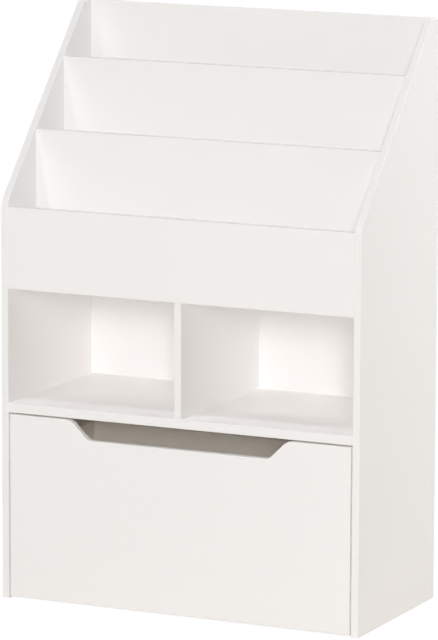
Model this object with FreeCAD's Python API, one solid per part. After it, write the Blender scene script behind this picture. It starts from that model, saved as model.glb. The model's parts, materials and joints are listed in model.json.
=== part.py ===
import FreeCAD, Part
import math
import os

from FreeCAD import Rotation, Vector

# Children's book and toy rack: two side panels carry three stepped book pockets,
# two open cubbies and, under them, one wide drawer that rolls on the floor.
# Frame: X to the right, Y to the back, Z up, origin on the floor under the middle.
# All sizes are in millimetres.

# Case
width = 615.0                # over both side panels
depth = 300.0                # front face to rear face
height = 925.0
board = 12.0                 # thickness of the boards
cubby_floor_board = 15.0     # the wide shelf over the drawer bay is thicker
edge_round = 1.2             # eased long edges of the boards

# Side panels: upright front edge, sloping edge, short level top
bend_radius = 30.0           # where the sloping edge leaves the upright one
top_land = 35.0              # level stretch at the top
top_corner_radius = 5.0

# Drawer bay and cubbies
bay_height = 300.0           # floor to the underside of the cubby floor
cubby_height = 182.0
back_floor_gap = 10.0        # under the lower back panel

# Book pockets
lip_height = 118.0           # a pocket's floor to the top of the panel before it
front_panel_drop = 7.0       # top of the front panel below the bend of the side panels
upper_panel_drop = 1.0       # tops of the other two panels below the sloping edge

# Drawer
drawer_side_gap = 2.5        # beside the drawer front
drawer_top_gap = 3.0
drawer_floor_gap = 3.5
drawer_back_gap = 8.0        # behind the closed drawer
drawer_wall_inset = 1.0      # drawer sides, in from the ends of the front
drawer_wall_drop = 58.0      # drawer sides and back, below the top of the front
grip_top_width = 372.0       # hand cut-out in the drawer front
grip_bottom_width = 310.0
grip_depth = 30.5
grip_shoulder_radius = 20.0
grip_corner_radius = 14.0

# Casters
wheel_radius = 18.0
wheel_width = 14.0
wheel_rim = 4.0              # thickness of the tread ring
wheel_web = 5.0
wheel_bevel = 2.0            # at both rims of the tread
wheel_windows = 5
window_wall = 1.0            # plastic left between a window and the hub or the tread
hub_radius = 6.5
hub_width = 17.0
hub_gap = 0.3                # between a hub and a bracket cheek
axle_radius = 3.0
axle_play = 0.05
axle_head_radius = 4.8
axle_head_height = 1.6
wheel_top_gap = 6.0          # between a wheel and the drawer's underside
bracket_sheet = 1.5
bracket_length = 44.0        # top plate, along Y
bracket_width = 50.0         # top plate, along X
bracket_corner = 5.0
bracket_slot_length = 30.0   # hole left in the plate by the folded cheeks
cheek_end_radius = 7.5
caster_inset_x = 60.0        # axle middle, in from the drawer's inner walls
caster_inset_y = 45.0

# Cam fittings
bolt_thread_radius = 3.0
bolt_thread_length = 8.0
bolt_shank_radius = 2.6
bolt_neck_radius = 1.7
bolt_head_radius = 3.2
bolt_head_length = 2.6
bolt_neck_length = 3.4
cam_offset = 24.0            # cam axis from the board's end
cam_radius = 6.0
cam_bolt_dip = 0.1           # a bolt's head dips this far into the floor under its cam
cam_slot_length = 8.0
cam_slot_width = 1.6
cam_slot_depth = 1.8

# Dowels and screws
dowel_radius = 3.0
dowel_length = 30.0
dowel_in_panel = 8.5         # part of a dowel that lies in the first board
screw_radius = 1.75
screw_head_radius = 3.5
screw_head_height = 2.2
board_screw_length = 35.0
caster_screw_length = 10.0
caster_screw_head_height = 1.8
caster_screw_crown_radius = 2.5  # small end of the pan head
caster_screw_spread_x = 36.0
caster_screw_spread_y = 34.0
fit_gap = 0.1                # round every dowel, bolt, cam and screw
hole_extra = 0.5             # drilled deeper than the fastener reaches
cutter_start = 1.0           # cutters start this far outside a face

# Places of the fixings
wide_margin = 45.0           # cam from the edges of a wide board
narrow_margin = 17.0         # dowel from the edges of a narrow board
cross_fixing_spread = 170.0  # dowels and screws along a board, from the middle

# Levels and faces that follow from the sizes above
X, Y, Z = Vector(1, 0, 0), Vector(0, 1, 0), Vector(0, 0, 1)
inner_x = width / 2 - board                  # inner face of a side panel
cam_rest = board / 2 - bolt_head_radius + cam_bolt_dip + fit_gap    # board left under a cam
front_y = -depth / 2
rear_y = depth / 2
back_y = rear_y - board                      # front face of the back panels
pocket_pitch = (back_y - front_y) / 3

cubby_floor_z = (bay_height, bay_height + cubby_floor_board)
rack_base_z = (cubby_floor_z[1] + cubby_height, cubby_floor_z[1] + cubby_height + board)
bend_height = rack_base_z[1] + lip_height + front_panel_drop
slope = (height - bend_height) / (depth - top_land)


def panel_span(step, drop, bottom):
    """Y and Z limits of a rack panel, its top just under the sloping edge."""
    y = front_y + step * pocket_pitch
    return (y, y + board), (bottom, bend_height + slope * step * pocket_pitch - drop)


front_panel_y, front_panel_z = panel_span(0, front_panel_drop, rack_base_z[0])
middle_panel_y, middle_panel_z = panel_span(1, upper_panel_drop, rack_base_z[1])
middle_floor_top = middle_panel_z[1] - lip_height
middle_floor_z = (middle_floor_top - board, middle_floor_top)
rear_panel_y, rear_panel_z = panel_span(2, upper_panel_drop, middle_floor_top)
rear_floor_top = rear_panel_z[1] - lip_height
rear_floor_z = (rear_floor_top - board, rear_floor_top)

drawer_front_x = inner_x - drawer_side_gap
drawer_outer_x = drawer_front_x - drawer_wall_inset
drawer_inner_x = drawer_outer_x - board
drawer_front_z = (drawer_floor_gap, bay_height - drawer_top_gap)
caster_height = 2 * wheel_radius + wheel_top_gap
drawer_wall_y = front_y + board
drawer_rear_y = back_y - drawer_back_gap
drawer_back_y = (drawer_rear_y - board, drawer_rear_y)
drawer_bottom_z = (caster_height, caster_height + board)
drawer_wall_z = (caster_height, drawer_front_z[1] - drawer_wall_drop)

shapes = {}                  # node name: list of its solids
cuts = {}                    # node name: list of holes to drill in it


def add(node, shape):
    shapes.setdefault(node, []).append(shape)


def drill(node, hole):
    cuts.setdefault(node, []).append(hole)


def block(x, y, z):
    """A block between three (low, high) pairs."""
    return Part.makeBox(x[1] - x[0], y[1] - y[0], z[1] - z[0], Vector(x[0], y[0], z[0]))


def outline(start, steps):
    """A closed face from a start point and a list of end points or (middle, end) arcs."""
    edges = []
    here = start
    for step in steps:
        if isinstance(step, tuple):
            middle, end = step
            edges.append(Part.Arc(here, middle, end).toShape())
        else:
            end = step
            edges.append(Part.LineSegment(here, end).toShape())
        here = end
    return Part.Face(Part.Wire(edges))


def edges_along(shape, axis):
    return [e for e in shape.Edges if abs(e.tangentAt(e.FirstParameter).dot(axis)) > 0.999]


def eased_board(x, y, z, axis):
    """A board whose long edges, parallel to the axis, are eased."""
    plain = block(x, y, z)
    return plain.makeFillet(edge_round, edges_along(plain, axis))


def rounded_outline(shape, thickness_axis):
    """Ease both rims of a plate cut to an outline."""
    rims = [e for e in shape.Edges
            if abs(e.tangentAt(e.FirstParameter).dot(thickness_axis)) < 0.001]
    return shape.makeFillet(edge_round, rims)


def fillet_corner(before, corner, after, radius):
    """Start, middle and end of an arc that rounds a corner of an outline."""
    to_before = (before - corner).normalize()
    to_after = (after - corner).normalize()
    half = to_before.getAngle(to_after) / 2
    reach = radius / math.tan(half)
    middle_line = (to_before + to_after).normalize()
    middle = corner + middle_line * (radius / math.sin(half) - radius)
    return corner + to_before * reach, middle, corner + to_after * reach


def placed(shape, origin, along, up):
    """A shape moved from its own frame to one with X along a line and Z along another."""
    moved = shape.copy()
    turn = Rotation(along, up.cross(along), up, "XZY")
    moved.Placement = FreeCAD.Placement(origin, turn)
    return moved


def rod(radius, start, end):
    """A cylinder along X between two stations."""
    return Part.makeCylinder(radius, end - start, Vector(start, 0, 0), X)


def turned(profile):
    """A solid turned about X from a closed outline of (station, radius) points."""
    points = [Vector(s, r, 0) for s, r in profile]
    wire = Part.makePolygon(points + [points[0]])
    return Part.Face(wire).revolve(Vector(0, 0, 0), X, 360)


# Fasteners, each in its own frame: X runs from the first board into the second

def cam_bolt():
    head_end = cam_offset + bolt_head_length / 2
    head_start = head_end - bolt_head_length
    neck_start = head_start - bolt_neck_length
    return turned([
        (-bolt_thread_length, 0), (-bolt_thread_length, bolt_thread_radius),
        (0, bolt_thread_radius), (0, bolt_shank_radius),
        (neck_start, bolt_shank_radius), (neck_start, bolt_neck_radius),
        (head_start, bolt_neck_radius), (head_start, bolt_head_radius),
        (head_end, bolt_head_radius), (head_end, 0)])


def cam_lock(thickness):
    """Round cam, flush with the board's face, with a side mouth for the bolt and a cross slot."""
    face = thickness / 2
    body = Part.makeCylinder(cam_radius, thickness - cam_rest, Vector(cam_offset, 0, cam_rest - face))
    mouth = rod(bolt_head_radius + 2 * fit_gap, cam_offset - cam_radius - cutter_start,
                cam_offset + bolt_head_length)
    half_length, half_width = cam_slot_length / 2, cam_slot_width / 2
    z = (face - cam_slot_depth, face + cutter_start)
    across = block((cam_offset - half_length, cam_offset + half_length), (-half_width, half_width), z)
    along = block((cam_offset - half_width, cam_offset + half_width), (-half_length, half_length), z)
    return body.cut([mouth, across, along])


def cam_joint(group, panel, plate, origin, into, face, thickness=board):
    """Bolt in the panel, cam in the plate's given face, holes in both."""
    def put(shape):
        return placed(shape, origin, into, face)

    pocket_bottom = cam_rest - fit_gap - thickness / 2
    pocket = Part.makeCylinder(cam_radius + fit_gap, thickness, Vector(cam_offset, 0, pocket_bottom))
    add(group + "cam_bolts", put(cam_bolt()))
    add(group + "cam_locks", put(cam_lock(thickness)))
    drill(panel, put(rod(bolt_thread_radius + fit_gap, -bolt_thread_length - hole_extra,
                         cutter_start)))
    drill(plate, put(rod(bolt_head_radius + fit_gap, -cutter_start, cam_offset + bolt_head_length)))
    drill(plate, put(pocket))


def dowel_joint(group, panel, plate, origin, into):
    """A dowel across the face where two boards meet."""
    up = Z if abs(into.dot(Z)) < 0.5 else Y
    start, end = -dowel_in_panel, dowel_length - dowel_in_panel
    r = dowel_radius
    add(group + "dowels", placed(rod(r, start, end), origin, into, up))
    drill(panel, placed(rod(r + fit_gap, start - hole_extra, cutter_start), origin, into, up))
    drill(plate, placed(rod(r + fit_gap, -cutter_start, end + hole_extra), origin, into, up))


def board_screw(length):
    """Countersunk screw with its flat head at station 0."""
    return turned([
        (0, 0), (0, screw_head_radius), (screw_head_height, screw_radius),
        (length - 2 * screw_radius, screw_radius), (length, 0)])


def screw_joint(node, outer, inner, origin, into):
    """A countersunk screw through the outer board into the edge of the inner one."""
    up = Z if abs(into.dot(Z)) < 0.5 else Y
    r = screw_radius + fit_gap
    sink_radius = screw_head_radius + fit_gap
    sink = turned([(-cutter_start, 0), (-cutter_start, sink_radius), (0, sink_radius),
                   (screw_head_height, r), (screw_head_height, 0)])
    shaft = rod(r, 0, board_screw_length + hole_extra)
    add(node, placed(board_screw(board_screw_length), origin, into, up))
    drill(outer, placed(sink.fuse(shaft), origin, into, up))
    drill(inner, placed(shaft, origin, into, up))


# Case boards

def side_panel(sign):
    """Side panel: its outline in the YZ plane, given its thickness, rims eased."""
    x = sign * width / 2
    foot_front, foot_rear = Vector(x, front_y, 0), Vector(x, rear_y, 0)
    bend = Vector(x, front_y, bend_height)
    top_front, top_rear = Vector(x, rear_y - top_land, height), Vector(x, rear_y, height)
    bend_arc = fillet_corner(foot_front, bend, top_front, bend_radius)
    top_arc = fillet_corner(bend, top_front, top_rear, top_corner_radius)
    face = outline(foot_front, [
        bend_arc[0], bend_arc[1:], top_arc[0], top_arc[1:], top_rear, foot_rear, foot_front])
    return rounded_outline(face.extrude(X * (-sign * board)), X)


def make_case_boards():
    full_x = (-inner_x, inner_x)
    divider_x = (-board / 2, board / 2)
    add("left_side_panel", side_panel(-1))
    add("right_side_panel", side_panel(1))
    add("cubby_floor", eased_board(full_x, (front_y, back_y), cubby_floor_z, X))
    add("cubby_divider",
        eased_board(divider_x, (front_y, back_y), (cubby_floor_z[1], rack_base_z[0]), Z))
    add("rack_base", eased_board(full_x, (front_y + board, rear_y), rack_base_z, X))
    add("front_rack_panel", eased_board(full_x, front_panel_y, front_panel_z, X))
    add("middle_rack_panel", eased_board(full_x, middle_panel_y, middle_panel_z, X))
    add("rear_rack_panel", eased_board(full_x, rear_panel_y, rear_panel_z, X))
    add("middle_pocket_floor",
        eased_board(full_x, (middle_panel_y[1], rear_panel_y[1]), middle_floor_z, X))
    add("rear_pocket_floor", eased_board(full_x, (rear_panel_y[1], back_y), rear_floor_z, X))
    add("upper_back_panel", eased_board(full_x, (back_y, rear_y), (rack_base_z[1], height), X))
    add("lower_back_panel",
        eased_board(full_x, (back_y, rear_y), (back_floor_gap, rack_base_z[0]), X))


def middle(span):
    return (span[0] + span[1]) / 2


def edge_pattern(span, wide):
    """Stations of cams and dowels across a board's end: two cams and a dowel, or the reverse."""
    margin = wide_margin if wide else narrow_margin
    outer, centre = [span[0] + margin, span[1] - margin], [middle(span)]
    return (outer, centre) if wide else (centre, outer)


def fasten_level_board(node, y_span, z_span, wide):
    """Both ends of a level board on the side panels, cams from below."""
    cams, dowels = edge_pattern(y_span, wide)
    for sign, panel in ((-1, "left_side_panel"), (1, "right_side_panel")):
        for y in cams:
            cam_joint("case_", panel, node, Vector(sign * inner_x, y, middle(z_span)),
                      X * -sign, -Z, z_span[1] - z_span[0])
        for y in dowels:
            dowel_joint("case_", panel, node, Vector(sign * inner_x, y, middle(z_span)), X * -sign)


def fasten_upright_board(node, y_span, z_span, wide):
    """Both ends of an upright board on the side panels, cams from behind."""
    cams, dowels = edge_pattern(z_span, wide)
    for sign, panel in ((-1, "left_side_panel"), (1, "right_side_panel")):
        for z in cams:
            cam_joint("case_", panel, node, Vector(sign * inner_x, middle(y_span), z), X * -sign, Y)
        for z in dowels:
            dowel_joint("case_", panel, node, Vector(sign * inner_x, middle(y_span), z), X * -sign)


def fasten_case():
    fasten_level_board("cubby_floor", (front_y, back_y), cubby_floor_z, True)
    fasten_level_board("rack_base", (front_y + board, rear_y), rack_base_z, True)
    fasten_level_board("middle_pocket_floor", (middle_panel_y[1], rear_panel_y[1]),
                       middle_floor_z, False)
    fasten_level_board("rear_pocket_floor", (rear_panel_y[1], back_y), rear_floor_z, False)
    fasten_upright_board("front_rack_panel", front_panel_y, front_panel_z, False)
    fasten_upright_board("middle_rack_panel", middle_panel_y, middle_panel_z, True)
    fasten_upright_board("rear_rack_panel", rear_panel_y, rear_panel_z, True)
    fasten_upright_board("upper_back_panel", (back_y, rear_y), (rack_base_z[1], height), True)
    fasten_upright_board("lower_back_panel", (back_y, rear_y),
                         (back_floor_gap, rack_base_z[0]), True)
    for x in (-cross_fixing_spread, cross_fixing_spread):
        dowel_joint("case_", "front_rack_panel", "rack_base",
                    Vector(x, front_panel_y[1], middle(rack_base_z)), Y)
        dowel_joint("case_", "middle_rack_panel", "middle_pocket_floor",
                    Vector(x, middle_panel_y[1], middle(middle_floor_z)), Y)
        dowel_joint("case_", "rear_rack_panel", "rear_pocket_floor",
                    Vector(x, rear_panel_y[1], middle(rear_floor_z)), Y)
        screw_joint("case_screws", "middle_pocket_floor", "rear_rack_panel",
                    Vector(x, middle(rear_panel_y), middle_floor_z[0]), Z)
        screw_joint("case_screws", "rack_base", "middle_rack_panel",
                    Vector(x, middle(middle_panel_y), rack_base_z[0]), Z)
        screw_joint("case_screws", "upper_back_panel", "rear_pocket_floor",
                    Vector(x, rear_y, middle(rear_floor_z)), -Y)
        screw_joint("case_screws", "lower_back_panel", "cubby_floor",
                    Vector(x, rear_y, middle(cubby_floor_z)), -Y)
    for y in (front_y + board + wide_margin, back_y - wide_margin):
        screw_joint("case_screws", "cubby_floor", "cubby_divider", Vector(0, y, bay_height), Z)
        dowel_joint("case_", "rack_base", "cubby_divider", Vector(0, y, rack_base_z[0]), -Z)


# Drawer

def drawer_front_board():
    """Front board with a wide hand cut-out in its top edge, every rim eased."""
    low, high = drawer_front_z
    corners = [Vector(x, front_y, z) for x, z in (
        (-drawer_front_x, high), (-grip_top_width / 2, high),
        (-grip_bottom_width / 2, high - grip_depth))]
    shoulder = fillet_corner(*corners, grip_shoulder_radius)
    mirrored_floor = Vector(grip_bottom_width / 2, front_y, high - grip_depth)
    root = fillet_corner(corners[1], corners[2], mirrored_floor, grip_corner_radius)

    def flip(points):
        return [Vector(-p.x, p.y, p.z) for p in reversed(points)]

    right_root, right_shoulder = flip(root), flip(shoulder)
    face = outline(corners[0], [
        shoulder[0], shoulder[1:], root[0], root[1:],
        right_root[0], tuple(right_root[1:]), right_shoulder[0], tuple(right_shoulder[1:]),
        Vector(drawer_front_x, front_y, high), Vector(drawer_front_x, front_y, low),
        Vector(-drawer_front_x, front_y, low), corners[0]])
    return rounded_outline(face.extrude(Y * board), Y)


def make_drawer_boards():
    box_x = (-drawer_inner_x, drawer_inner_x)
    add("drawer_front", drawer_front_board())
    add("drawer_left_side", eased_board((-drawer_outer_x, -drawer_inner_x),
                                        (drawer_wall_y, drawer_rear_y), drawer_wall_z, Y))
    add("drawer_right_side", eased_board((drawer_inner_x, drawer_outer_x),
                                         (drawer_wall_y, drawer_rear_y), drawer_wall_z, Y))
    add("drawer_back", eased_board(box_x, drawer_back_y, drawer_wall_z, X))
    add("drawer_bottom",
        eased_board(box_x, (drawer_wall_y, drawer_back_y[0]), drawer_bottom_z, X))


def fasten_drawer():
    cams, dowels = edge_pattern(drawer_wall_z, True)
    side_middle = (drawer_inner_x + drawer_outer_x) / 2
    bottom_level = middle(drawer_bottom_z)
    for sign, side in ((-1, "drawer_left_side"), (1, "drawer_right_side")):
        for z in cams:
            cam_joint("drawer_", "drawer_front", side,
                      Vector(sign * side_middle, drawer_wall_y, z), Y, X * -sign)
            screw_joint("drawer_screws", side, "drawer_back",
                        Vector(sign * drawer_outer_x, middle(drawer_back_y), z), X * -sign)
        for z in dowels:
            dowel_joint("drawer_", "drawer_front", side,
                        Vector(sign * side_middle, drawer_wall_y, z), Y)
        for y in (drawer_wall_y + wide_margin, drawer_back_y[0] - wide_margin):
            screw_joint("drawer_screws", side, "drawer_bottom",
                        Vector(sign * drawer_outer_x, y, bottom_level), X * -sign)
        x = sign * cross_fixing_spread
        dowel_joint("drawer_", "drawer_front", "drawer_bottom",
                    Vector(x, drawer_wall_y, bottom_level), Y)
        screw_joint("drawer_screws", "drawer_back", "drawer_bottom",
                    Vector(x, drawer_rear_y, bottom_level), -Y)


# Casters, each in its own frame: X along the axle, Y along the drawer's depth, Z up,
# origin on the floor under the axle

def caster_wheel():
    """Moulded wheel: tread ring, thinner web with round windows, long hub, bored for the axle."""
    w, web, hub = wheel_width / 2, wheel_web / 2, hub_width / 2
    inside = wheel_radius - wheel_rim
    bore = axle_radius + axle_play
    half = [(hub, bore), (hub, hub_radius), (web, hub_radius), (web, inside), (w, inside),
            (w, wheel_radius - wheel_bevel), (w - wheel_bevel, wheel_radius)]
    ring = turned(half + [(-s, r) for s, r in reversed(half)])
    window_circle = (inside + hub_radius) / 2
    window_radius = (inside - hub_radius) / 2 - window_wall
    start = web + cutter_start
    windows = []
    for i in range(wheel_windows):
        angle = 2 * math.pi * i / wheel_windows
        centre = Vector(-start, window_circle * math.cos(angle), window_circle * math.sin(angle))
        windows.append(Part.makeCylinder(window_radius, 2 * start, centre, X))
    return ring.cut(windows).translate(Vector(0, 0, wheel_radius))


def caster_bracket():
    """Pressed steel bracket: a plate whose two cheeks are folded down round the wheel."""
    plate_z = (caster_height - bracket_sheet, caster_height)
    cheek_inner = hub_width / 2 + hub_gap
    cheek_outer = cheek_inner + bracket_sheet
    plate = block((-bracket_width / 2, bracket_width / 2),
                  (-bracket_length / 2, bracket_length / 2), plate_z)
    plate = plate.makeFillet(bracket_corner, edges_along(plate, Z))
    slot = block((-cheek_inner, cheek_inner),
                 (-bracket_slot_length / 2, bracket_slot_length / 2),
                 (plate_z[0] - cutter_start, plate_z[1] + cutter_start))
    half_root = bracket_slot_length / 2
    tangent = cheek_tangent(half_root, plate_z[0] - wheel_radius, cheek_end_radius)
    cheek = outline(Vector(0, -half_root, plate_z[1]), [
        Vector(0, half_root, plate_z[1]), Vector(0, half_root, plate_z[0]),
        Vector(0, tangent.x, wheel_radius + tangent.y),
        (Vector(0, 0, wheel_radius - cheek_end_radius),
         Vector(0, -tangent.x, wheel_radius + tangent.y)),
        Vector(0, -half_root, plate_z[0]), Vector(0, -half_root, plate_z[1])])
    solid = plate.cut(slot)
    for low in (-cheek_outer, cheek_inner):
        solid = solid.fuse(cheek.extrude(X * bracket_sheet).translate(X * low))
    solid = solid.removeSplitter()
    axle_hole = Part.makeCylinder(axle_radius + fit_gap, bracket_width,
                                  Vector(-bracket_width / 2, 0, wheel_radius), X)
    screw_holes = [Part.makeCylinder(screw_radius + fit_gap, 3 * bracket_sheet,
                                     Vector(x, y, plate_z[0] - bracket_sheet))
                   for x, y in caster_screw_places()]
    return solid.cut([axle_hole] + screw_holes)


def cheek_tangent(root_half, root_rise, radius):
    """Where a cheek's sloping edge meets its round end, from the axle, as (Y, Z)."""
    reach = math.hypot(root_half, root_rise)
    angle = math.atan2(root_rise, root_half) - math.acos(radius / reach)
    return Vector(radius * math.cos(angle), radius * math.sin(angle), 0)


def caster_screw_places():
    return [(sx * caster_screw_spread_x / 2, sy * caster_screw_spread_y / 2)
            for sx in (-1, 1) for sy in (-1, 1)]


def caster_axle():
    """Riveted pin with a bevelled head outside each cheek."""
    reach = hub_width / 2 + hub_gap + bracket_sheet
    end = reach + axle_head_height
    half = [(end, 0), (end, axle_radius), (reach, axle_head_radius), (reach, axle_radius)]
    return turned(half + [(-s, r) for s, r in reversed(half)]).translate(Vector(0, 0, wheel_radius))


def caster_screw():
    """Pan-head screw, driven up from under the plate; its seat is at station 0."""
    return turned([
        (-caster_screw_head_height, 0), (-caster_screw_head_height, caster_screw_crown_radius),
        (0, screw_head_radius), (0, screw_radius),
        (caster_screw_length - 2 * screw_radius, screw_radius), (caster_screw_length, 0)])


def make_casters():
    reach_x = drawer_inner_x - caster_inset_x
    ys = {"front": drawer_wall_y + caster_inset_y, "rear": drawer_back_y[0] - caster_inset_y}
    xs = {"left": -reach_x, "right": reach_x}
    plate_bottom = caster_height - bracket_sheet
    for row, y in ys.items():
        for side, x in xs.items():
            place = Vector(x, y, 0)
            name = row + "_" + side
            add(name + "_wheel", caster_wheel().translate(place))
            add(name + "_caster_bracket", caster_bracket().translate(place))
            add(name + "_caster_axle", caster_axle().translate(place))
            for dx, dy in caster_screw_places():
                seat = place + Vector(dx, dy, plate_bottom)
                add("caster_screws", placed(caster_screw(), seat, Z, X))
                hole = rod(screw_radius + fit_gap, 0, caster_screw_length + hole_extra)
                drill("drawer_bottom", placed(hole, seat, Z, X))


def finish(node):
    """Drill a node's holes and join its solids into one shape."""
    solids = shapes[node]
    if node in cuts:
        solids = [solids[0].cut(cuts[node])]
    if len(solids) == 1:
        return solids[0].Solids[0]
    return Part.makeCompound([s for shape in solids for s in shape.Solids])


make_case_boards()
fasten_case()
make_drawer_boards()
fasten_drawer()
make_casters()

os.makedirs("parts", exist_ok=True)
for node_name in shapes:
    finish(node_name).exportStep(os.path.join("parts", node_name + ".step"))
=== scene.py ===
import json
import math

import bmesh
import bpy
from mathutils import Matrix, Vector

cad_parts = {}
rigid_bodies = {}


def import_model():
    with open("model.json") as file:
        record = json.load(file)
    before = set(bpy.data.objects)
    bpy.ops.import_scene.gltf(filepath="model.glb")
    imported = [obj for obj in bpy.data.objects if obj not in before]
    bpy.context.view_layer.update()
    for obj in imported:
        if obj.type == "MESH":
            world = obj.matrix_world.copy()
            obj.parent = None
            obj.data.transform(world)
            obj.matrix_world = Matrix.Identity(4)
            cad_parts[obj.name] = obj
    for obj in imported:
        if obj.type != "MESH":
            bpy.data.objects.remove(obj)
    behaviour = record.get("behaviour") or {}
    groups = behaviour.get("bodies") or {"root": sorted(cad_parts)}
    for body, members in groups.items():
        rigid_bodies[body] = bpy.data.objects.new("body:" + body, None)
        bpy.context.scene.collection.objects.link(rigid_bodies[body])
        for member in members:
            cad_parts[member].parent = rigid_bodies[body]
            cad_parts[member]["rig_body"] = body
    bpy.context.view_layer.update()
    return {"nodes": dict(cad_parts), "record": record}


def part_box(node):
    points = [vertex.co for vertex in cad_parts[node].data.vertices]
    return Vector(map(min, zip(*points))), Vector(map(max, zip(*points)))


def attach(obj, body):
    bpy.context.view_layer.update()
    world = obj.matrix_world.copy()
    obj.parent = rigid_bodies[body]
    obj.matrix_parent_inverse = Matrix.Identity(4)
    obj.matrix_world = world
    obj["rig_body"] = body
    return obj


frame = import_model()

# Looks of the children's book and toy rack: satin white boards, zinc-plated fixings, beech
# dowels and dark casters under the drawer. All sizes are in metres, in the CAD model's frame.

nodes = frame["nodes"]
scene = bpy.context.scene

# Camera, at the photograph's viewing angle
CAMERA_TARGET = Vector((-0.0004, 0.0, 0.4472))
CAMERA_DISTANCE = 6.985
CAMERA_AZIMUTH = math.radians(25.34)     # 0 looks along +Y, positive from the right
CAMERA_ELEVATION = math.radians(9.99)
CAMERA_ROLL = math.radians(0.23)
CAMERA_LENS = 250.2                      # mm, on the long side of the frame
CAMERA_SENSOR = 36.0                     # mm
CAMERA_RANGE = 100.0                     # farthest thing that the camera sees

# Soft far lamps all round: name, azimuth and elevation in degrees, light on a face turned to it
FAR_LAMPS = (
    ("key", 25, 16, 0.205),
    ("low_key", 25, 11, 0.13),
    ("left_front", -20, 32, 0.17),
    ("high_front", 0, 45, 0.06),
    ("top", 0, 75, 0.19),
    ("left", -120, 10, 0.40),
    ("back", 170, 35, 0.42),
)
FAR_LAMP_SPREAD = math.radians(10)
# Soft near lamps: name, place, aim, width, power in watts
NEAR_LAMPS = (
    ("front_card", (0.3, -1.6, 0.75), (0.0, 0.0, 0.30), 0.8, 1.5),
    ("right_high_card", (1.6, 0.2, 1.9), (0.3, 0.15, 0.6), 1.0, 4.8),
    ("right_card", (1.6, 0.6, 0.9), (0.3, 0.15, 0.5), 1.0, 5.3),
)
WORLD_LIGHT = (0.05, 0.05, 0.05)
WHITE_BOUNCES = 32                       # light passes many times between a cubby's white boards

WHITE = (1.0, 1.0, 1.0)
FLOOR_SIZE = 40.0
FLOOR_COLOUR = (0.74, 0.685, 0.63)       # as it lights the object
FLOOR_SEEN = (0.16, 0.16, 0.16)          # what the camera sees of its light and shadow,
FLOOR_GLOW = 0.91                        # over this share of plain white

# Sockets of a colour Mix node
MIX_FACTOR, MIX_FIRST, MIX_SECOND = 0, 6, 7
MIX_RESULT = 2

# In the finishes below, a noise is cells a metre, detail and, for one, roughness. A bump is
# height and strength. A range is the two values that a pattern or a roughness goes between.
NOISE_RANGE = (0.3, 0.7)
NOISE_CORE = (0.35, 0.65)                # narrower, for more contrast
FULL_RANGE = (0.0, 1.0)

# White lacquer: darker and lighter clouds, streaks on cut edges, thin paint on rims
BOARD_SHADE = (0.954, 0.946, 0.942)
BOARD_LIGHT = (0.966, 0.958, 0.954)
BOARD_STREAK = (0.946, 0.937, 0.932)
BOARD_WORN = (0.934, 0.925, 0.915)
WARM_SHADE_TINT = (1.0, 0.985, 0.945)              # painted shade: a warmer tint on the white boards inside the drawer, for the warm shade there
# the boards inside the drawer, which get the painted warm shade tint
WARM_SHADE_NODES = ("drawer_left_side", "drawer_right_side", "drawer_back", "drawer_bottom")
BOARD_SPECULAR = 0.35
BOARD_ROUGHNESS = (0.46, 0.56)
CUT_EDGE_ROUGHNESS = 0.10                # added where a board was cut
CUT_EDGE_COSINES = (0.8, 0.5)            # from a broad face to a cut edge
CLOUD_NOISE = (3.0, 3.0)
SHEEN_NOISE = (14.0, 4.0)
STREAK_ALONG = 25.0                      # cells a metre
STREAK_ACROSS = 450.0
STREAK_NOISE = (1.0, 3.0, 0.6)           # on coordinates stretched by the two above
STREAK_RANGE = (0.40, 0.72)
STREAK_BUMP = (0.00008, 0.6)
SPECKLE_NOISE = (180.0, 2.0)
SPECKLE_RANGE = (0.42, 0.68)
PEEL_NOISE = (420.0, 1.0)
PEEL_BUMP = (0.00010, 0.5)
WAVE_NOISE = (9.0, 1.0)
WAVE_BUMP = (0.0006, 0.35)
WORN_RADIUS = 0.0012
WORN_COSINES = (0.999, 0.93)             # from a flat face to a rim
WORN_SAMPLES = 6

# Zinc plating
ZINC_DARK = (0.58, 0.59, 0.58)
ZINC_LIGHT = (0.70, 0.69, 0.65)
ZINC_PATCH_NOISE = (160.0, 3.0)
ZINC_HAZE_NOISE = (500.0, 3.0)
ZINC_ROUGHNESS = (0.24, 0.42)
ZINC_SCRATCH_NOISE = (900.0, 2.0)
ZINC_BUMP = (0.00005, 0.5)

# Pressed sheet
SHEET_DARK = (0.47, 0.48, 0.49)
SHEET_LIGHT = (0.60, 0.60, 0.59)
SPANGLE_CELLS = 220.0                    # a metre
SPANGLE_RANGE = (0.2, 0.8)
ROLLED_STRETCH = (900.0, 40.0, 900.0)    # cells a metre along X, Y and Z
ROLLED_NOISE = (1.0, 2.0)
SHEET_ROUGHNESS = (0.30, 0.48)
SHEET_BUMP = (0.00004, 0.6)

# Die-cast alloy
ALLOY_DARK = (0.52, 0.52, 0.52)
ALLOY_LIGHT = (0.66, 0.66, 0.65)
ALLOY_NOISE = (700.0, 4.0)
ALLOY_ROUGHNESS = (0.45, 0.62)
ALLOY_BUMP = (0.00008, 0.6)

# Beech
BEECH_DARK = (0.56, 0.38, 0.22)
BEECH_LIGHT = (0.72, 0.53, 0.34)
BEECH_FLECK = (0.40, 0.24, 0.12)
FIBRE_STRETCH = (120.0, 120.0, 900.0)    # cells a metre along X, Y and Z
FIBRE_NOISE = (1.0, 5.0)
FLECK_STRETCH = (300.0, 300.0, 1500.0)
FLECK_NOISE = (1.0, 1.0)
FLECK_RANGE = (0.60, 0.72)
BEECH_ROUGHNESS = (0.55, 0.75)
BEECH_BUMP = (0.0001, 0.5)

# Wheel plastic
PLASTIC_CLEAN = (0.020, 0.020, 0.022)
PLASTIC_DUSTY = (0.075, 0.072, 0.068)
DUST_NOISE = (90.0, 5.0)
DUST_RANGE = (0.50, 0.80)
PLASTIC_ROUGHNESS = (0.38, 0.62)
PLASTIC_NOISE = (1500.0, 2.0)
PLASTIC_BUMP = (0.00006, 0.5)

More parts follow.
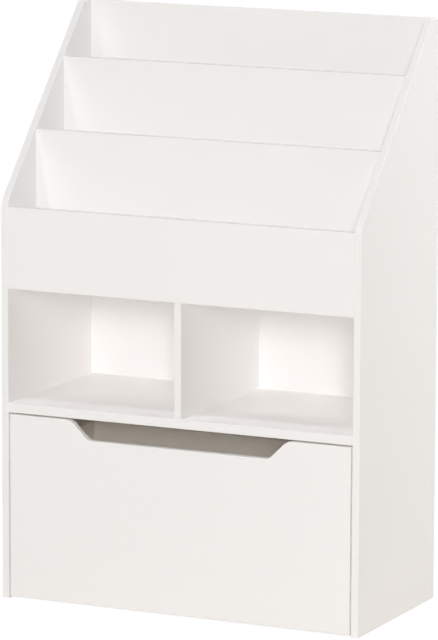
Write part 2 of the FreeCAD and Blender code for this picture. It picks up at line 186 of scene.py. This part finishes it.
# Cross recess of a screw head
SCREW_NODES = ("case_screws", "drawer_screws", "caster_screws")
RECESS_LENGTH = 0.0040
RECESS_WIDTH = 0.0009
RECESS_DEPTH = 0.0016
RECESS_MOUTH = 1.12                      # share of its length and width outside the head
RECESS_TIP = 0.55                        # and at its bottom
RECESS_START = 0.3                       # cutter outside the head, as a share of the depth
HEAD_SHARE = 0.1                         # share of a screw's length that is searched for its head
SAME_POINT = 1e-7


def direction(azimuth, elevation):
    """Unit vector from the object towards a place round it."""
    level = math.cos(elevation)
    return Vector((math.sin(azimuth) * level, -math.cos(azimuth) * level, math.sin(elevation)))


def looking(back, roll=0.0):
    """Rotation of a camera or lamp that looks against the given direction."""
    return back.to_track_quat("Z", "Y").to_matrix() @ Matrix.Rotation(roll, 3, "Z")


def place(obj, location, rotation):
    """Puts a camera or lamp into the scene."""
    obj.matrix_world = Matrix.Translation(location) @ rotation.to_4x4()
    scene.collection.objects.link(obj)


def make_camera():
    lens = bpy.data.cameras.new("camera")
    lens.sensor_width = CAMERA_SENSOR
    lens.lens = CAMERA_LENS
    lens.clip_end = CAMERA_RANGE
    back = direction(CAMERA_AZIMUTH, CAMERA_ELEVATION)
    camera = bpy.data.objects.new("camera", lens)
    place(camera, CAMERA_TARGET + back * CAMERA_DISTANCE, looking(back, CAMERA_ROLL))
    scene.camera = camera


# Small helpers for node trees

class Tree:
    """A node tree that is written as nested calls."""

    def __init__(self, tree):
        self.tree = tree
        tree.nodes.clear()

    def node(self, kind, settings=(), **inputs):
        """A new node. Its inputs are given by name, or as i0, i1 and so on by number."""
        made = self.tree.nodes.new(kind)
        for name, value in dict(settings).items():
            setattr(made, name, value)
        for name, value in inputs.items():
            numbered = name[1:].isdigit()
            socket = made.inputs[int(name[1:]) if numbered else name.replace("_", " ")]
            self.feed(socket, value)
        return made

    def feed(self, socket, value):
        """Gives a socket a value, another socket or a node's first output."""
        if isinstance(value, bpy.types.NodeSocket):
            self.tree.links.new(value, socket)
        elif isinstance(value, bpy.types.Node):
            self.tree.links.new(value.outputs[0], socket)
        else:
            socket.default_value = value

    def compute(self, operation, *terms):
        numbered = {"i%d" % i: term for i, term in enumerate(terms)}
        return self.node("ShaderNodeMath", {"operation": operation}, **numbered)

    def noise(self, coordinates, scale, detail, roughness=0.5):
        return self.node("ShaderNodeTexNoise", Vector=coordinates, Scale=scale, Detail=detail,
                         Roughness=roughness)

    def stretched(self, coordinates, scale):
        return self.node("ShaderNodeMapping", Vector=coordinates, Scale=scale)

    def remap(self, value, from_range, to_range=FULL_RANGE):
        return self.node("ShaderNodeMapRange", i0=value, i1=from_range[0], i2=from_range[1],
                         i3=to_range[0], i4=to_range[1])

    def blend(self, factor, first, second):
        """Colour mix of two colours or sockets."""
        mix = self.node("ShaderNodeMix", {"data_type": "RGBA"})
        self.feed(mix.inputs[MIX_FACTOR], factor)
        self.feed(mix.inputs[MIX_FIRST], first)
        self.feed(mix.inputs[MIX_SECOND], second)
        return mix.outputs[MIX_RESULT]

    def bump(self, pattern, height, strength, below=None):
        """A bumpy normal, over another one where that is given."""
        made = self.node("ShaderNodeBump", Height=pattern, Distance=height, Strength=strength)
        if below is not None:
            self.feed(made.inputs["Normal"], below)
        return made


def rgba(colour):
    return (*colour, 1.0)


def tinted(colour, tint):
    return rgba([share * part for share, part in zip(colour, tint)])


def new_material(name, metallic=0.0):
    """A material with its tree, the part's own coordinates and its shader."""
    material = bpy.data.materials.new(name)
    material.use_nodes = True
    tree = Tree(material.node_tree)
    where = tree.node("ShaderNodeTexCoord").outputs["Object"]
    shader = tree.node("ShaderNodeBsdfPrincipled", Metallic=metallic)
    tree.node("ShaderNodeOutputMaterial", Surface=shader)
    return material, tree, where, shader


def edge_share(tree):
    """0 on flat faces, rising to 1 on rims."""
    rounded = tree.node("ShaderNodeBevel", {"samples": WORN_SAMPLES}, Radius=WORN_RADIUS)
    true = tree.node("ShaderNodeNewGeometry").outputs["Normal"]
    cosine = tree.node("ShaderNodeVectorMath", {"operation": "DOT_PRODUCT"}, i0=rounded, i1=true)
    return tree.remap(cosine.outputs["Value"], WORN_COSINES)


def board_axes(node):
    """The thin and the long direction of a board, as 0, 1 or 2 for X, Y or Z."""
    low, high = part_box(node)
    by_size = sorted(range(3), key=lambda axis: high[axis] - low[axis])
    return by_size[0], by_size[2]


def white_board(thin, long, tint):
    """Satin white lacquer on fibreboard whose thin and long directions and tint are given.

    The broad faces are faintly cloudy with a little orange peel. The cut edges soak up more
    lacquer, so they show fine streaks along the board, and their rims have thinner paint.
    """
    # the tinted copy carries painted warm shade, for the boards inside the drawer
    finish = "warm_shade_board_" if tint == WARM_SHADE_TINT else "white_board_"
    material, tree, where, shader = new_material(finish + "xyz"[thin] + "xyz"[long])
    shader.inputs["Specular IOR Level"].default_value = BOARD_SPECULAR
    own_normal = tree.node("ShaderNodeTexCoord").outputs["Normal"]
    facing = tree.node("ShaderNodeSeparateXYZ", i0=own_normal)
    cut_edge = tree.remap(tree.compute("ABSOLUTE", facing.outputs[thin]), CUT_EDGE_COSINES)
    stretch = [STREAK_ACROSS] * 3
    stretch[long] = STREAK_ALONG
    streaks = tree.noise(tree.stretched(where, stretch), *STREAK_NOISE)
    streaks_there = tree.compute("MULTIPLY", cut_edge, tree.remap(streaks, STREAK_RANGE))

    cloud = tree.remap(tree.noise(where, *CLOUD_NOISE), NOISE_RANGE)
    tone = tree.blend(cloud, tinted(BOARD_SHADE, tint), tinted(BOARD_LIGHT, tint))
    tone = tree.blend(streaks_there, tone, tinted(BOARD_STREAK, tint))
    speckle = tree.remap(tree.noise(where, *SPECKLE_NOISE), SPECKLE_RANGE)
    worn = tree.compute("MULTIPLY", edge_share(tree), speckle)
    tree.feed(shader.inputs["Base Color"], tree.blend(worn, tone, tinted(BOARD_WORN, tint)))

    sheen = tree.remap(tree.noise(where, *SHEEN_NOISE), NOISE_RANGE, BOARD_ROUGHNESS)
    tree.feed(shader.inputs["Roughness"],
              tree.compute("MULTIPLY_ADD", cut_edge, CUT_EDGE_ROUGHNESS, sheen))
    peel = tree.bump(tree.noise(where, *PEEL_NOISE), *PEEL_BUMP)
    wavy = tree.bump(tree.noise(where, *WAVE_NOISE), *WAVE_BUMP, peel)
    tree.feed(shader.inputs["Normal"], tree.bump(streaks_there, *STREAK_BUMP, wavy))
    return material


def zinc_steel():
    """Bright zinc plating: small tonal patches, faint warmth, fine handling scratches."""
    material, tree, where, shader = new_material("zinc_steel", metallic=1.0)
    patches = tree.remap(tree.noise(where, *ZINC_PATCH_NOISE), NOISE_CORE)
    haze = tree.noise(where, *ZINC_HAZE_NOISE)
    scratches = tree.noise(where, *ZINC_SCRATCH_NOISE)
    tree.feed(shader.inputs["Base Color"], tree.blend(patches, rgba(ZINC_DARK), rgba(ZINC_LIGHT)))
    tree.feed(shader.inputs["Roughness"], tree.remap(haze, NOISE_RANGE, ZINC_ROUGHNESS))
    tree.feed(shader.inputs["Normal"], tree.bump(scratches, *ZINC_BUMP))
    return material


def bracket_steel():
    """Pressed zinc-plated sheet: spangle, rolling lines along its length."""
    material, tree, where, shader = new_material("bracket_steel", metallic=1.0)
    cells = tree.node("ShaderNodeTexVoronoi", Vector=where, Scale=SPANGLE_CELLS)
    spangle = tree.remap(cells.outputs["Color"], SPANGLE_RANGE)
    rolled = tree.noise(tree.stretched(where, ROLLED_STRETCH), *ROLLED_NOISE)
    tree.feed(shader.inputs["Base Color"],
              tree.blend(spangle, rgba(SHEET_DARK), rgba(SHEET_LIGHT)))
    tree.feed(shader.inputs["Roughness"], tree.remap(rolled, NOISE_RANGE, SHEET_ROUGHNESS))
    tree.feed(shader.inputs["Normal"], tree.bump(rolled, *SHEET_BUMP))
    return material


def cam_alloy():
    """Matt die-cast zinc alloy with a grainy skin."""
    material, tree, where, shader = new_material("cam_alloy", metallic=1.0)
    grain = tree.noise(where, *ALLOY_NOISE)
    tree.feed(shader.inputs["Base Color"],
              tree.blend(tree.remap(grain, NOISE_CORE), rgba(ALLOY_DARK), rgba(ALLOY_LIGHT)))
    tree.feed(shader.inputs["Roughness"], tree.remap(grain, NOISE_RANGE, ALLOY_ROUGHNESS))
    tree.feed(shader.inputs["Normal"], tree.bump(grain, *ALLOY_BUMP))
    return material


def beech():
    """Bare beech dowel: fine fibres along X or Y with short darker flecks."""
    material, tree, where, shader = new_material("beech")
    fibres = tree.noise(tree.stretched(where, FIBRE_STRETCH), *FIBRE_NOISE)
    specks = tree.noise(tree.stretched(where, FLECK_STRETCH), *FLECK_NOISE)
    wood = tree.blend(tree.remap(fibres, NOISE_RANGE), rgba(BEECH_DARK), rgba(BEECH_LIGHT))
    tree.feed(shader.inputs["Base Color"],
              tree.blend(tree.remap(specks, FLECK_RANGE), wood, rgba(BEECH_FLECK)))
    tree.feed(shader.inputs["Roughness"], tree.remap(fibres, NOISE_RANGE, BEECH_ROUGHNESS))
    tree.feed(shader.inputs["Normal"], tree.bump(fibres, *BEECH_BUMP))
    return material


def wheel_plastic():
    """Dark moulded plastic with a fine texture and dust that dulls it."""
    material, tree, where, shader = new_material("wheel_plastic")
    dust = tree.remap(tree.noise(where, *DUST_NOISE), DUST_RANGE)
    texture = tree.noise(where, *PLASTIC_NOISE)
    tree.feed(shader.inputs["Base Color"],
              tree.blend(dust, rgba(PLASTIC_CLEAN), rgba(PLASTIC_DUSTY)))
    tree.feed(shader.inputs["Roughness"], tree.remap(dust, FULL_RANGE, PLASTIC_ROUGHNESS))
    tree.feed(shader.inputs["Normal"], tree.bump(texture, *PLASTIC_BUMP))
    return material


def dress_nodes():
    """Every CAD node gets its slot's material in place of the plain one it came with."""
    for plain in list(bpy.data.materials):
        bpy.data.materials.remove(plain)
    finishes = {make.__name__: make() for make in
                (zinc_steel, bracket_steel, cam_alloy, beech, wheel_plastic)}
    for subpart in frame["record"]["subparts"]:
        node, finish = subpart["node"], subpart["material_slot"]
        if finish == "white_board":
            # boards inside the drawer get the warm tint, which is painted shade
            finish = (*board_axes(node), WARM_SHADE_TINT if node in WARM_SHADE_NODES else WHITE)
            if finish not in finishes:
                finishes[finish] = white_board(*finish)
        mesh = nodes[node].data
        mesh.materials.clear()
        mesh.materials.append(finishes[finish])


# Cross recesses of the screws

def separate_solids(mesh):
    """The corner points of each loose solid of a mesh."""
    shape = bmesh.new()
    shape.from_mesh(mesh)
    bmesh.ops.remove_doubles(shape, verts=shape.verts, dist=SAME_POINT)
    seen, solids = set(), []
    for first in shape.verts:
        if first in seen:
            continue
        seen.add(first)
        solid, waiting = [], [first]
        while waiting:
            corner = waiting.pop()
            solid.append(corner.co.copy())
            for edge in corner.link_edges:
                other = edge.other_vert(corner)
                if other not in seen:
                    seen.add(other)
                    waiting.append(other)
        solids.append(solid)
    shape.free()
    return solids


def head_place(points):
    """Middle of a screw's head face and the direction from there into the screw."""
    low = Vector([min(p[i] for p in points) for i in range(3)])
    high = Vector([max(p[i] for p in points) for i in range(3)])
    middle = (low + high) / 2
    size = high - low
    along = max(range(3), key=lambda i: size[i])
    reach = {}                           # widest point near each end, squared, from the axis
    for end in (low[along], high[along]):
        near = [p for p in points if abs(p[along] - end) < HEAD_SHARE * size[along]]
        reach[end] = max((p - middle).length_squared - (p[along] - middle[along]) ** 2
                         for p in near)
    head = max(reach, key=reach.get)
    seat = middle.copy()
    seat[along] = head
    into = Vector((0.0, 0.0, 0.0))
    into[along] = 1.0 if head == low[along] else -1.0
    return seat, into


def add_cross(shape, seat, into):
    """A tapered cross-shaped plug that reaches from outside the head into it."""
    turn = Matrix.Translation(seat) @ into.to_track_quat("Z", "Y").to_matrix().to_4x4()
    stations = ((-RECESS_DEPTH * RECESS_START, RECESS_MOUTH), (RECESS_DEPTH, RECESS_TIP))
    for quarter in (0.0, math.pi / 2):
        spin = turn @ Matrix.Rotation(quarter, 4, "Z")
        rings = []
        for depth, share in stations:
            half_length, half_width = RECESS_LENGTH / 2 * share, RECESS_WIDTH / 2 * share
            rings.append([shape.verts.new(spin @ Vector((x * half_length, y * half_width, depth)))
                          for x, y in ((-1, -1), (1, -1), (1, 1), (-1, 1))])
        outer, inner = rings
        shape.faces.new(reversed(outer))
        shape.faces.new(inner)
        for i in range(4):
            j = (i + 1) % 4
            shape.faces.new((outer[i], outer[j], inner[j], inner[i]))


def cut_recesses(node):
    """Sinks a cross recess into each screw head of a node."""
    shape = bmesh.new()
    for points in separate_solids(nodes[node].data):
        add_cross(shape, *head_place(points))
    mesh = bpy.data.meshes.new(node + "_recesses")
    shape.to_mesh(mesh)
    shape.free()
    cutter = bpy.data.objects.new(node + "_recesses", mesh)
    scene.collection.objects.link(cutter)
    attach(cutter, nodes[node]["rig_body"])
    cutter.hide_render = True
    cutter.hide_viewport = True
    cut = nodes[node].modifiers.new("cross_recess", "BOOLEAN")
    cut.operation = "DIFFERENCE"
    cut.solver = "EXACT"
    cut.use_self = True                  # a cross is two plugs that pass through each other
    cut.object = cutter


# Floor, world and lamps

def seen_share(tree):
    """1 where the camera sees, directly or in a gloss or a glass, and 0 for light on the object."""
    rays = tree.node("ShaderNodeLightPath").outputs
    direct = tree.compute("MAXIMUM", rays["Is Camera Ray"], rays["Is Glossy Ray"])
    return tree.compute("MAXIMUM", direct, rays["Is Transmission Ray"])


def make_floor():
    """Pale floor: plain white to the camera but for the object's shadow."""
    material = bpy.data.materials.new("floor")
    material.use_nodes = True
    tree = Tree(material.node_tree)
    seen = seen_share(tree)
    matt = tree.node("ShaderNodeBsdfDiffuse",
                     Color=tree.blend(seen, rgba(FLOOR_COLOUR), rgba(FLOOR_SEEN)))
    glow = tree.node("ShaderNodeEmission", Color=rgba(WHITE),
                     Strength=tree.compute("MULTIPLY", seen, FLOOR_GLOW))
    both = tree.node("ShaderNodeAddShader", i0=matt, i1=glow)
    tree.node("ShaderNodeOutputMaterial", Surface=both)

    mesh = bpy.data.meshes.new("floor")
    shape = bmesh.new()
    bmesh.ops.create_grid(shape, x_segments=1, y_segments=1, size=FLOOR_SIZE / 2)
    shape.to_mesh(mesh)
    shape.free()
    mesh.materials.append(material)
    floor = bpy.data.objects.new("floor", mesh)
    scene.collection.objects.link(floor)


def make_world():
    """White to the camera, faint even light to everything else."""
    world = bpy.data.worlds.new("studio")
    scene.world = world
    world.use_nodes = True
    tree = Tree(world.node_tree)
    colour = tree.blend(seen_share(tree), rgba(WORLD_LIGHT), rgba(WHITE))
    light = tree.node("ShaderNodeBackground", Color=colour, Strength=1.0)
    tree.node("ShaderNodeOutputWorld", Surface=light)


def make_lamps():
    for name, azimuth, elevation, light in FAR_LAMPS:
        lamp = bpy.data.lights.new(name, "SUN")
        lamp.angle = FAR_LAMP_SPREAD
        lamp.energy = math.pi * light
        back = direction(math.radians(azimuth), math.radians(elevation))
        place(bpy.data.objects.new(name, lamp), CAMERA_TARGET + back, looking(back))
    for name, location, aim, width, power in NEAR_LAMPS:
        lamp = bpy.data.lights.new(name, "AREA")
        lamp.shape = "DISK"
        lamp.size = width
        lamp.energy = power
        back = (Vector(location) - Vector(aim)).normalized()
        place(bpy.data.objects.new(name, lamp), Vector(location), looking(back))


make_camera()
dress_nodes()
for screws in SCREW_NODES:
    cut_recesses(screws)
make_floor()
make_world()
make_lamps()

scene.view_settings.view_transform = "Standard"
scene.cycles.diffuse_bounces = WHITE_BOUNCES
scene.cycles.max_bounces = WHITE_BOUNCES
